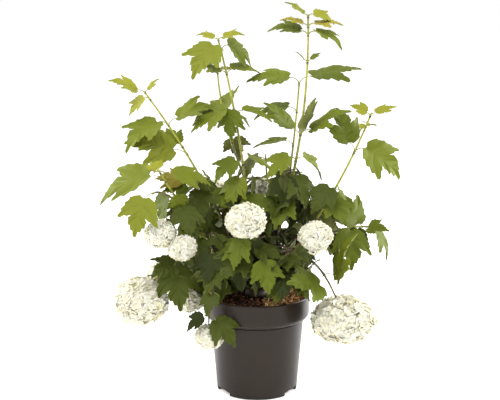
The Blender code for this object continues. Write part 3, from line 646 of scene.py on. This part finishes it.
# The leaves: opposite pairs on short stalks, each blade three-lobed and coarsely toothed, with
# sunken veins and a paler underside. A leaf stands where its tip or lobes are found in the
# solid foliage, by the same seeded rule. Young leaves are yellow-green; the other greens are
# painted light and shade, lighter outside and high up, and darker inside and low down.
STALK_SHARE = 0.30
SHORTEST_STALK = 0.009
STALK_RADIUS = 0.00095
STALK_TAPER = 0.00030
STALK_ARCH = 0.06
UNDER_MIDRIB = (0.0, 0.03, -0.034)
LEAF_FULLNESS = 1.04
LEAF_LENGTHS = (0.88, 1.08)
LEAF_TURN = 14
LEAF_DROOP = 9
LEAF_TRIES = 11
TRY_TURN = 13.0
TRY_DROOP = 8.0
TRY_SHRINK = 0.03
BACK_STEM = 0.08
LEAF_MARKS = ((0.0, 1.0), (0.51, 0.60), (-0.51, 0.60), (0.35, 0.06))
MARK_FOUND = 0.0005
LEAF_THICKNESS = 0.006
EDGE_TEETH = (0.034, 0.75)
NOTCH_TEETH = (0.022, 0.35)
VEIN_WIDTH = 0.030
VEIN_DEPTH = 0.021
PILLOW = 0.10
WIDE_FACE = 0.010
SLIM_BELOW = 0.040


def leaf_frame(item, pair, side, trial):
    """Where one leaf of a pair sits: its node, and its blade's base, axes, length and bend."""
    share, turn, droop, length = [own_value(value, side) for value in pair[:4]]
    look = own_value(pair[4], side) if len(pair) > 4 else item["look"]
    dice = random.Random("%s %.3f %d" % (item["name"], share, side))
    turn += 180.0 * side + dice.uniform(-LEAF_TURN, LEAF_TURN) + trial_step(trial, TRY_TURN)
    droop += dice.uniform(-LEAF_DROOP, LEAF_DROOP)
    droop += trial_step(trial + 1, TRY_DROOP) * (trial > 0)
    length *= LEAF_FULLNESS * dice.uniform(*LEAF_LENGTHS) * (1.0 - TRY_SHRINK * trial)
    out = Vector((cos(radians(turn)), sin(radians(turn)), 0.0))
    node = stem_point(item, share)
    rise = (out * 0.75 + stem_slope(item, share).normalized() * 0.55).normalized()
    base = node + rise * max(length * STALK_SHARE, SHORTEST_STALK)
    along = (out * cos(radians(droop)) - Vector((0, 0, 1)) * sin(radians(droop))).normalized()
    up = out * sin(radians(droop)) + Vector((0, 0, 1)) * cos(radians(droop))
    facing = Vector((0, 1 if item["tip"].y > BACK_STEM else -1, 0))
    up += facing * (dice.uniform(0.1, 1.0) * look)
    up += Vector((dice.uniform(-0.35, 0.35), 0, 0))
    up = (up - along * up.dot(along)).normalized()
    return {"node": node, "base": base, "along": along, "across": along.cross(up), "up": up,
            "length": length, "fold": dice.uniform(0.05, 0.22),
            "sag": dice.uniform(0.02, 0.16), "share": share}


def own_value(value, side):
    """The leaf's own value, where the two leaves of a pair differ."""
    return value[side] if isinstance(value, tuple) else value


def trial_step(trial, size):
    """0, +1, -1, +2, -2 and so on, in steps of the size."""
    return size * ceil(trial / 2) * (1 if trial % 2 else -1)


def blade_point(spot, x, y, lift=0.0):
    """A point of the blade: folded up from the midrib and sagging towards the tip."""
    rise = spot["fold"] * abs(x) - spot["sag"] * y * y + lift
    return (spot["base"] + (spot["across"] * x + spot["along"] * y + spot["up"] * rise)
            * spot["length"])


def corner_finder(node):
    """A search tree of a solid's corners."""
    mesh = frame["nodes"][node].data
    tree = KDTree(len(mesh.vertices))
    for vert in mesh.vertices:
        tree.insert(vert.co, vert.index)
    tree.balance()
    return tree


def standing_leaf(item, pair, side, finder):
    """The try of the seeded rule whose tip, or two other marks, are in the solid, if any."""
    for trial in range(LEAF_TRIES):
        spot = leaf_frame(item, pair, side, trial)
        found = [finder.find(blade_point(spot, x, y))[2] < MARK_FOUND for x, y in LEAF_MARKS]
        if found[0] or sum(found) >= 2:
            return spot
    return None


def toothed(run, teeth, depth, lean):
    """Margin points along a run, with teeth that lean forward."""
    lengths = [(after - before).length for before, after in zip(run, run[1:])]
    total = sum(lengths)

    def at(share):
        reach = share * total
        for number, length in enumerate(lengths):
            if reach <= length or number == len(lengths) - 1:
                step = run[number + 1] - run[number]
                return run[number] + step * (reach / length), step.normalized()
            reach -= length

    points = []
    for tooth in range(teeth):
        valley, _ = at(tooth / teeth)
        peak, way = at((tooth + lean) / teeth)
        outward = Vector((way.y, -way.x))
        points.append(valley - outward * depth * 0.35)
        points.append(peak + outward * depth)
    return points


def half_margin(lobe, notch, waist, teeth):
    """The right half of the margin from the stalk to the tip, by the places of its side
    lobe, of the notch above that and of the middle lobe's waist, and its runs' teeth."""
    outer = [Vector((0.26, 0.00)), Vector((0.41, 0.17)), Vector(lobe)]
    inner = [Vector(lobe), Vector(notch)]
    middle = [Vector(notch), Vector(waist), Vector((0.10, 0.88)), Vector((0.0, 1.03))]
    points = [Vector((0.020, 0.010)), Vector((0.12, -0.045))]
    points += toothed(outer, teeth[0], *EDGE_TEETH)
    points.append(Vector(lobe))
    points += toothed(inner, teeth[1], *NOTCH_TEETH)[1:]
    points += toothed(middle, teeth[2], *EDGE_TEETH)
    return points


def vein_distance(x, y, veins):
    """Distance from the nearest vein, counted for more towards the vein's fine end."""
    here = Vector((abs(x), y))
    nearest = here.x
    for start, end in veins:
        run = end - start
        share = min(1.0, max(0.0, (here - start).dot(run) / run.length_squared))
        nearest = min(nearest, (here - start - run * share).length * (1.0 + 0.4 * share))
    return nearest


def blade_template(lobe, notch, waist, teeth, veins):
    """A flat blade one unit long: the margin filled, cut along the veins, and given its
    thickness. Its upper side is pillowed between the veins."""
    bm = bmesh.new()
    margin = half_margin(lobe, notch, waist, teeth)
    loop = [bm.verts.new((0.0, -0.005, 0.0))]
    loop += [bm.verts.new((point.x, point.y, 0.0)) for point in margin]
    loop.append(bm.verts.new((0.0, 1.04, 0.0)))
    bm.faces.new(loop)
    for start, end in veins:
        run = (end - start).normalized()
        bmesh.ops.bisect_plane(bm, geom=bm.verts[:] + bm.edges[:] + bm.faces[:], dist=0.004,
                               plane_co=(start.x, start.y, 0.0), plane_no=(run.y, -run.x, 0.0))
    bmesh.ops.connect_verts_concave(bm, faces=bm.faces[:])
    if veins:
        wide = [face for face in bm.faces if face.calc_area() > WIDE_FACE]
        bmesh.ops.poke(bm, faces=wide, center_mode="MEAN_WEIGHTED")
    bmesh.ops.triangulate(bm, faces=bm.faces)
    bmesh.ops.mirror(bm, geom=bm.verts[:] + bm.edges[:] + bm.faces[:], axis="X",
                     merge_dist=0.002)
    bmesh.ops.recalc_face_normals(bm, faces=bm.faces)
    if sum(face.normal.z for face in bm.faces) < 0:
        bmesh.ops.reverse_faces(bm, faces=bm.faces)
    for vert in bm.verts:
        gap = vein_distance(vert.co.x, vert.co.y, veins)
        vert.co.z = -VEIN_DEPTH * exp(-(gap / VEIN_WIDTH) ** 2) + PILLOW * min(gap, 0.10)
    bmesh.ops.solidify(bm, geom=bm.faces[:], thickness=LEAF_THICKNESS)
    for face in bm.faces:
        face.material_index = 1 if face.normal.z < 0 else 0
    mesh = bpy.data.meshes.new("blade_template")
    bm.to_mesh(mesh)
    bm.free()
    return mesh


def bent_blade(template, spot, dice, upper, under):
    """A copy of the flat blade laid on its own place, curled by its own chance."""
    bm = bmesh.new()
    bm.from_mesh(template)
    curl = dice.uniform(0.10, 0.65)
    cup = dice.uniform(-0.10, 0.50)
    wave = dice.uniform(0.010, 0.030)
    phase = dice.uniform(0, 2 * pi)
    skew = dice.uniform(-0.06, 0.06)
    for vert in bm.verts:
        x, y, relief = vert.co
        lift = relief - curl * max(0.0, y - 0.55) ** 2 * 1.6
        lift -= cup * max(0.0, abs(x) - 0.12) ** 2 * 2.0
        lift += wave * sin(11.0 * y + phase + (2.0 if x > 0 else 0.0)) * min(1.0, abs(x) * 4)
        vert.co = blade_point(spot, x + skew * y * y, y, lift)
    for face in bm.faces:
        face.material_index = under if face.material_index else upper
    return bm


def leaf_skin(name, colour):
    """A plain green with a fine uneven grain, which is only in the relief."""
    made = new_surface(name, colour, roughness=0.55, shine=0.12)
    vary_roughness(made, surface_noise(made, scale=240.0), low=0.49, high=0.65)
    emboss(made, surface_noise(made, scale=900.0, detail=2.0), depth=0.00012, strength=0.6)
    return made


def drawn_stalk(spot):
    """A leaf's thin stalk, a little arched, from its node to under its midrib."""
    start = spot["node"]
    end = blade_point(spot, *UNDER_MIDRIB)
    bend = (spot["base"] - start).cross(spot["across"]).normalized()
    bend = bend * STALK_ARCH * spot["length"]
    if bend.z > 0:
        bend.negate()
    steps = 6
    stations = []
    for number in range(steps + 1):
        share = number / steps
        point = start.lerp(end, share) - bend * (4 * share * (1 - share))
        along = (end - start - bend * (4 - 8 * share)).normalized()
        stations.append(station(point, along, STALK_RADIUS - STALK_TAPER * share))
    return drawn_out(stations, 6)


VEINS = (
    (Vector((0.0, 0.02)), Vector((0.52, 0.61))),
    (Vector((0.0, 0.29)), Vector((0.20, 0.62))),
    (Vector((0.0, 0.46)), Vector((0.24, 0.76))),
    (Vector((0.0, 0.66)), Vector((0.15, 0.88))),
    (Vector((0.14, 0.18)), Vector((0.40, 0.20))),
    (Vector((0.27, 0.33)), Vector((0.49, 0.42))),
)
BROAD_BLADE = blade_template((0.55, 0.66), (0.205, 0.520), (0.265, 0.70), (4, 2, 4), VEINS)
SLIM_BLADE = blade_template((0.42, 0.62), (0.20, 0.53), (0.21, 0.70), (4, 1, 4), VEINS)
INNER_BLADE = blade_template((0.50, 0.63), (0.20, 0.53), (0.22, 0.72), (3, 1, 3), ())

# Leaf greens. On grown leaves, the deep, dark, mid and brighter greens are painted shade and
# painted light. The young, gold and flushed greens, and the light green on young tips, are the
# leaves' own tints. The darkest underside, used for the inner leaves, is painted shade.
LEAF_TONES = (
    ("leaf_deep", (0.024, 0.031, 0.005)),
    ("leaf_dark", (0.052, 0.066, 0.008)),
    ("leaf_mid", (0.098, 0.124, 0.011)),
    ("leaf_fresh", (0.132, 0.158, 0.013)),
    ("leaf_light", (0.170, 0.190, 0.018)),
    ("leaf_young", (0.230, 0.236, 0.020)),
    ("leaf_gold", (0.290, 0.250, 0.026)),
    ("leaf_flushed", (0.215, 0.180, 0.026)),
    ("leaf_under", (0.140, 0.155, 0.040)),
    ("leaf_under_young", (0.215, 0.220, 0.035)),
    ("leaf_under_inner", (0.062, 0.072, 0.018)),
)
leaf_skins = [leaf_skin(name, colour) for name, colour in LEAF_TONES]
TONE = {name[5:]: number for number, (name, _) in enumerate(LEAF_TONES)}
TIP_SHARE = 0.92
YOUNG_LENGTH = 0.052
SHADED_BELOW = 0.30
YOUNG_TONES = ("young", "young", "gold", "young", "light", "flushed")
# Painted light and shade: the grown leaves' greens, set by how much light a leaf is given,
# darkest first.
TONES_BY_LIGHT = (
    (0.24, ("deep", "dark")),
    (0.50, ("dark", "mid")),
    (0.80, ("mid", "mid", "fresh")),
    (inf, ("fresh", "fresh", "mid", "light")),
)
SHADY_RADIUS, LIT_RADIUS = 0.08, 0.28
POT_SHADE, POT_CLEAR = 0.12, 0.27
SHADY_HEIGHT, LIT_HEIGHT = 0.20, 0.55
LOW_LEAVES = 0.25
LIGHT_FROM_LEFT = 0.3
LOW_LIGHT_FROM_RIGHT = 3.0
LIGHT_CHANCE = 0.12
LARGE_LEAF = 0.070
LARGE_LEAF_LIGHT = 0.12


def leaf_tone(spot, dice):
    """Young at the shoot's tip, and painted light and shade on the rest: lighter on the outside
    and high up, darker inside and low down, above all on the left. Low young tips are painted
    shade."""
    length = spot["length"]
    middle = spot["base"] + spot["along"] * (0.5 * length)
    if spot["share"] > TIP_SHARE and length < YOUNG_LENGTH:
        # Painted shade: young tips low down take dark or mid green.
        return dice.choice(("dark", "mid") if middle.z < SHADED_BELOW else YOUNG_TONES)
    # Painted light and shade: the light score rises with height, with reach from the middle
    # above the rim, and with side.
    above = (middle.z - POT_SHADE) / (POT_CLEAR - POT_SHADE)
    outward = (middle.xy.length - SHADY_RADIUS) / (LIT_RADIUS - SHADY_RADIUS)
    outward *= min(1.0, max(0.0, above))
    light = max((middle.z - SHADY_HEIGHT) / (LIT_HEIGHT - SHADY_HEIGHT), outward)
    sideways = LOW_LIGHT_FROM_RIGHT if middle.z < LOW_LEAVES else -LIGHT_FROM_LEFT
    light += dice.uniform(-LIGHT_CHANCE, LIGHT_CHANCE) + sideways * middle.x
    # Painted light: large leaves are given a lighter green.
    if length > LARGE_LEAF:
        light += LARGE_LEAF_LIGHT
    return dice.choice(next(tones for limit, tones in TONES_BY_LIGHT if light < limit))


INNER_TWIGS = 11
INNER_REACH = 0.115
INNER_LOW = 0.184
INNER_HIGH = 0.385
INNER_PLACES = (0.10, 0.62)
INNER_LENGTHS = (0.010, 0.042)
INNER_LEAVES = (0.032, 0.056)
INNER_STALK = 0.010
TWIG_RADIUS = 0.0013
TWIG_TAPER = 0.0001
SIGHT_SLOPE = 0.22
BARE_MULCH_TOP = 0.215
BARE_MULCH_BACK = 0.03


def in_the_way(point):
    """In front of a bloom, over the bare mulch right of the foot, or out of the crown."""
    for item in SHOOTS:
        away = point - item["tip"]
        seen = Vector((away.x, away.z + SIGHT_SLOPE * away.y))
        if away.y < 0 and seen.length < item["bloom"] * 1.1:
            return True
        if away.length < item["bloom"] + 0.006:
            return True
    bare = point.x > WOODY_FOOT_RADIUS and point.y < BARE_MULCH_BACK
    if bare and point.z < BARE_MULCH_TOP:
        return True
    return not (INNER_LOW < point.z < INNER_HIGH and point.xy.length < INNER_REACH)


def inner_twig(item, dice):
    """A short side twig low on a main stem, with two or three small leaves in painted shade,
    deep or dark green.
    """
    share = dice.uniform(*INNER_PLACES)
    turn = dice.uniform(0, 2 * pi)
    start = stem_point(item, share)
    out = Vector((cos(turn), sin(turn), dice.uniform(-0.2, 0.7))).normalized()
    end = start + out * dice.uniform(*INNER_LENGTHS)
    leaves = []
    for _ in range(dice.choice((2, 3))):
        way = Vector((cos(turn), sin(turn), 0.0))
        way = Matrix.Rotation(radians(dice.uniform(-75, 75)), 3, "Z") @ way
        droop = radians(dice.uniform(5, 75))
        length = dice.uniform(*INNER_LEAVES)
        along = way * cos(droop) - Vector((0, 0, 1)) * sin(droop)
        up = way * sin(droop) + Vector((0, 0, 1)) * cos(droop)
        up += Vector((dice.uniform(-0.4, 0.4), dice.uniform(-0.9, 0.3), 0))
        up = (up - along * up.dot(along)).normalized()
        base = end + along * INNER_STALK
        if in_the_way(base + along * length) or in_the_way(base + along * (0.5 * length)):
            continue
        # Painted shade: the inner leaves take the deep and dark greens.
        leaves.append({"node": end, "base": base, "along": along, "across": along.cross(up),
                       "up": up, "length": length, "fold": dice.uniform(0.05, 0.30),
                       "sag": dice.uniform(0.02, 0.20),
                       "tone": dice.choice(("deep", "deep", "dark"))})
    return {"start": start, "end": end, "leaves": leaves} if leaves else None


def drawn_twig(twig):
    run = twig["end"] - twig["start"]
    stations = []
    for number in range(4):
        point = twig["start"].lerp(twig["end"], number / 3)
        stations.append(station(point, run.normalized(), TWIG_RADIUS - TWIG_TAPER * number))
    return drawn_out(stations, 6)


blades = bmesh.new()
stalks = bmesh.new()
all_twigs = bmesh.new()
standing = missing = 0
for item in SHOOTS:
    finder = corner_finder((item["parent"] or item["name"]) + "_foliage")
    for pair in item["pairs"]:
        for side in (0, 1):
            if own_value(pair[3], side) == 0:
                continue
            spot = standing_leaf(item, pair, side, finder)
            if spot is None:
                missing += 1
                continue
            standing += 1
            dice = random.Random("blade %s %.3f %d" % (item["name"], pair[0], side))
            tone = leaf_tone(spot, dice)
            under = "under_young" if TONE[tone] >= TONE["young"] else "under"
            template = SLIM_BLADE if spot["length"] < SLIM_BELOW else BROAD_BLADE
            add_to(blades, bent_blade(template, spot, dice, TONE[tone], TONE[under]))
            add_to(stalks, drawn_stalk(spot))
for item in MAIN_SHOOTS:
    dice = random.Random("inner " + item["name"])
    for _ in range(INNER_TWIGS):
        twig = inner_twig(item, dice)
        if twig is None:
            continue
        add_to(all_twigs, drawn_twig(twig))
        for spot in twig["leaves"]:
            # Painted shade: the inner leaves' undersides take the darkest underside green.
            add_to(blades, bent_blade(INNER_BLADE, spot, dice, TONE[spot["tone"]],
                                      TONE["under_inner"]))
            stalk = drawn_stalk(spot)
            for face in stalk.faces:
                face.material_index = 1
            add_to(stalks, stalk)
print("leaves standing", standing, "missing", missing)
leaves = object_from(blades, "leaves", leaf_skins)
leaves.data.set_sharp_from_angle(angle=radians(55))
leaf_stalks = object_from(stalks, "leaf_stalks",
                          [stem_skins[STEM_GREEN], stem_skins[STEM_OLIVE]])
inner_twigs = object_from(all_twigs, "inner_twigs", [stem_skins[STEM_WOOD]])
place(leaves, "foliage", *[item["name"] + "_foliage" for item in MAIN_SHOOTS])
place(leaf_stalks, "foliage")
place(inner_twigs, "woody_bark")

# The snowball blooms: each a ball of crowded florets with five rounded, cupped petals, cream
# white and here and there a little greener. They stand round a pale core, turned a little
# every way, and looser in the large balls.
PETALS = 5
PETAL_INNER, PETAL_REACH, PETAL_ROUNDING = 0.46, 0.56, 0.62
PETAL_CUP = 0.22
PETAL_THICKNESS = 0.05
FLORET_SPACING = 0.0062
FLORET_RADIUS = 0.0080
FLORET_SIZES = (0.75, 1.10)
USUAL_BLOOM = 0.036
MOST_GROWN = 1.15
LARGE_BLOOM = 0.045
LARGE_DEPTH, LARGE_LEAN = (0.82, 0.94), 0.36
SMALL_DEPTH, SMALL_LEAN = (0.79, 0.88), 0.27
TONE_SHARES = (70, 27, 3)
SWELLINGS = 5
SWELLING_HEIGHT = 0.06
BLOSSOM_PIECES = 3


def floret_template():
    """Five rounded petals, cupped, as one thin closed piece."""
    bm = bmesh.new()
    bmesh.ops.create_circle(bm, cap_ends=True, cap_tris=True, radius=1.0, segments=3 * PETALS)
    for vert in bm.verts:
        away = vert.co.xy.length
        if away > 0.5:
            turn = atan2(vert.co.y, vert.co.x)
            petal = (turn / (2 * pi) * PETALS) % 1.0
            reach = PETAL_INNER + PETAL_REACH * abs(sin(pi * petal)) ** PETAL_ROUNDING
            vert.co = Vector((cos(turn), sin(turn), 0)) * reach
            vert.co.z = PETAL_CUP * reach * reach
    bmesh.ops.recalc_face_normals(bm, faces=bm.faces)
    bmesh.ops.solidify(bm, geom=bm.faces[:], thickness=PETAL_THICKNESS)
    mesh = bpy.data.meshes.new("floret_template")
    bm.to_mesh(mesh)
    bm.free()
    return mesh


def ball_sites(radius, spacing):
    """Places evenly spread over a ball."""
    count = int(4 * pi * radius * radius / (spacing * spacing))
    golden = pi * (3 - 5 ** 0.5)
    for number in range(count):
        z = 1 - 2 * (number + 0.5) / count
        across = (1 - z * z) ** 0.5
        yield Vector((across * cos(golden * number), across * sin(golden * number), z))


def waved(item):
    """The ball's low swellings, as in the solid."""
    dice = random.Random(item["name"])
    return [(Vector((dice.gauss(0, 1), dice.gauss(0, 1), dice.gauss(0, 1))),
             dice.uniform(0, 2 * pi)) for _ in range(SWELLINGS)]


def ball_radius(item, unit, waves):
    lump = sum(cos(5.0 * unit.dot(wave) + phase) for wave, phase in waves) / SWELLINGS
    return item["bloom"] * (1.0 + SWELLING_HEIGHT * lump)


def petal_skin(name, colour):
    """A thin petal, which lets some light through."""
    made = new_surface(name, colour, roughness=0.62, shine=0.25)
    vary_roughness(made, surface_noise(made, scale=300.0), low=0.55, high=0.72)
    emboss(made, surface_noise(made, scale=900.0, detail=2.0), depth=0.00010, strength=0.4)
    shader = made.node_tree.nodes["Principled BSDF"]
    shader.inputs["Subsurface Weight"].default_value = 0.40
    shader.inputs["Subsurface Radius"].default_value = (1.0, 0.80, 0.50)
    shader.inputs["Subsurface Scale"].default_value = 0.004
    return made


FLORET = floret_template()
petal_skins = [
    petal_skin("petal_white", (0.740, 0.705, 0.560)),
    petal_skin("petal_cream", (0.720, 0.675, 0.500)),
    petal_skin("petal_green", (0.660, 0.640, 0.400)),
]
core_skin = leaf_skin("bloom_core", (0.700, 0.650, 0.480))
florets = [bmesh.new() for _ in range(BLOSSOM_PIECES)]
cores = bmesh.new()
blooming = [item for item in SHOOTS if item["bloom"]]
for number, item in enumerate(blooming):
    waves = waved(item)
    dice = random.Random("florets " + item["name"])
    depth, most_lean = (LARGE_DEPTH, LARGE_LEAN) if item["bloom"] > LARGE_BLOOM else (
        SMALL_DEPTH, SMALL_LEAN)
    for unit in ball_sites(item["bloom"], FLORET_SPACING):
        unit = (unit + Vector([dice.gauss(0, 0.05) for _ in range(3)])).normalized()
        radius = ball_radius(item, unit, waves) * dice.uniform(*depth)
        spot = item["tip"] + Vector((unit.x, unit.y, unit.z * item["flat"])) * radius
        lean = Vector([dice.gauss(0, most_lean) for _ in range(3)])
        face_way = (Vector((unit.x, unit.y, unit.z / item["flat"])).normalized()
                    + lean).normalized()
        size = FLORET_RADIUS * dice.uniform(*FLORET_SIZES)
        size *= min(MOST_GROWN, item["bloom"] / USUAL_BLOOM)
        turn = Matrix.Rotation(dice.uniform(0, 2 * pi), 4, "Z")
        bm = bmesh.new()
        bm.from_mesh(FLORET)
        bmesh.ops.transform(bm, matrix=station(spot, face_way, size) @ turn, verts=bm.verts)
        tone = dice.choices(range(len(petal_skins)), TONE_SHARES)[0]
        for face in bm.faces:
            face.material_index = tone
        add_to(florets[number % BLOSSOM_PIECES], bm)
    core = bmesh.new()
    bmesh.ops.create_icosphere(core, subdivisions=3, radius=1.0)
    for vert in core.verts:
        unit = vert.co.normalized()
        vert.co = unit * (ball_radius(item, unit, waves) * (depth[0] + 0.01))
        vert.co.z *= item["flat"]
    bmesh.ops.translate(core, verts=core.verts, vec=item["tip"])
    add_to(cores, core)
for number, bunch in enumerate(florets):
    blossom = object_from(bunch, "florets_%d" % (number + 1), petal_skins, smooth=False)
    place(blossom, "foliage")
bloom_cores = object_from(cores, "bloom_cores", [core_skin])
place(bloom_cores, "foliage")

# The studio: a white floor under a white sky, one soft lamp overhead and a strip at each side,
# a little behind the plant, and the camera at the photograph's place.
floor_mesh = bmesh.new()
bmesh.ops.create_grid(floor_mesh, x_segments=1, y_segments=1, size=8.0)
floor_surface = new_surface("studio_floor", (0.99, 0.99, 0.99), roughness=0.9, shine=0.0)
glow = floor_surface.node_tree.nodes["Principled BSDF"].inputs
glow["Emission Color"].default_value = (1.0, 1.0, 1.0, 1.0)
glow["Emission Strength"].default_value = 0.25
floor = object_from(floor_mesh, "studio_floor", [floor_surface])
floor.location.z = -0.0002


def add_lamp(name, spot, aim, size, power):
    lamp = bpy.data.lights.new(name, "AREA")
    lamp.shape = "RECTANGLE"
    lamp.size, lamp.size_y = size
    lamp.energy = power
    made = bpy.data.objects.new(name, lamp)
    made.location = spot
    made.rotation_euler = (Vector(aim) - Vector(spot)).to_track_quat("-Z", "Y").to_euler()
    bpy.context.scene.collection.objects.link(made)


add_lamp("lamp_top", (-0.5, -1.0, 2.3), (0, 0, 0.3), (1.6, 1.6), 36)
add_lamp("lamp_left", (-1.8, 0.7, 0.7), (0, 0, 0.2), (0.8, 1.8), 46)
add_lamp("lamp_right", (1.8, 0.6, 0.7), (0, 0, 0.2), (0.9, 1.8), 66)
sky = bpy.data.worlds.new("studio_sky")
sky.use_nodes = True
sky.node_tree.nodes["Background"].inputs["Color"].default_value = (1.0, 1.0, 1.0, 1.0)
sky.node_tree.nodes["Background"].inputs["Strength"].default_value = 1.0
bpy.context.scene.world = sky
bpy.context.scene.view_settings.view_transform = "Standard"

CAMERA_PLACE = (-0.0128, -2.2, 0.8233)
CAMERA_PITCH = 12.144
CAMERA_LENS = 90.97
lens = bpy.data.cameras.new("camera")
lens.lens = CAMERA_LENS
lens.sensor_width = 36.0
camera = bpy.data.objects.new("camera", lens)
camera.location = CAMERA_PLACE
camera.rotation_euler = (radians(90.0 - CAMERA_PITCH), 0.0, 0.0)
bpy.context.scene.collection.objects.link(camera)
bpy.context.scene.camera = camera
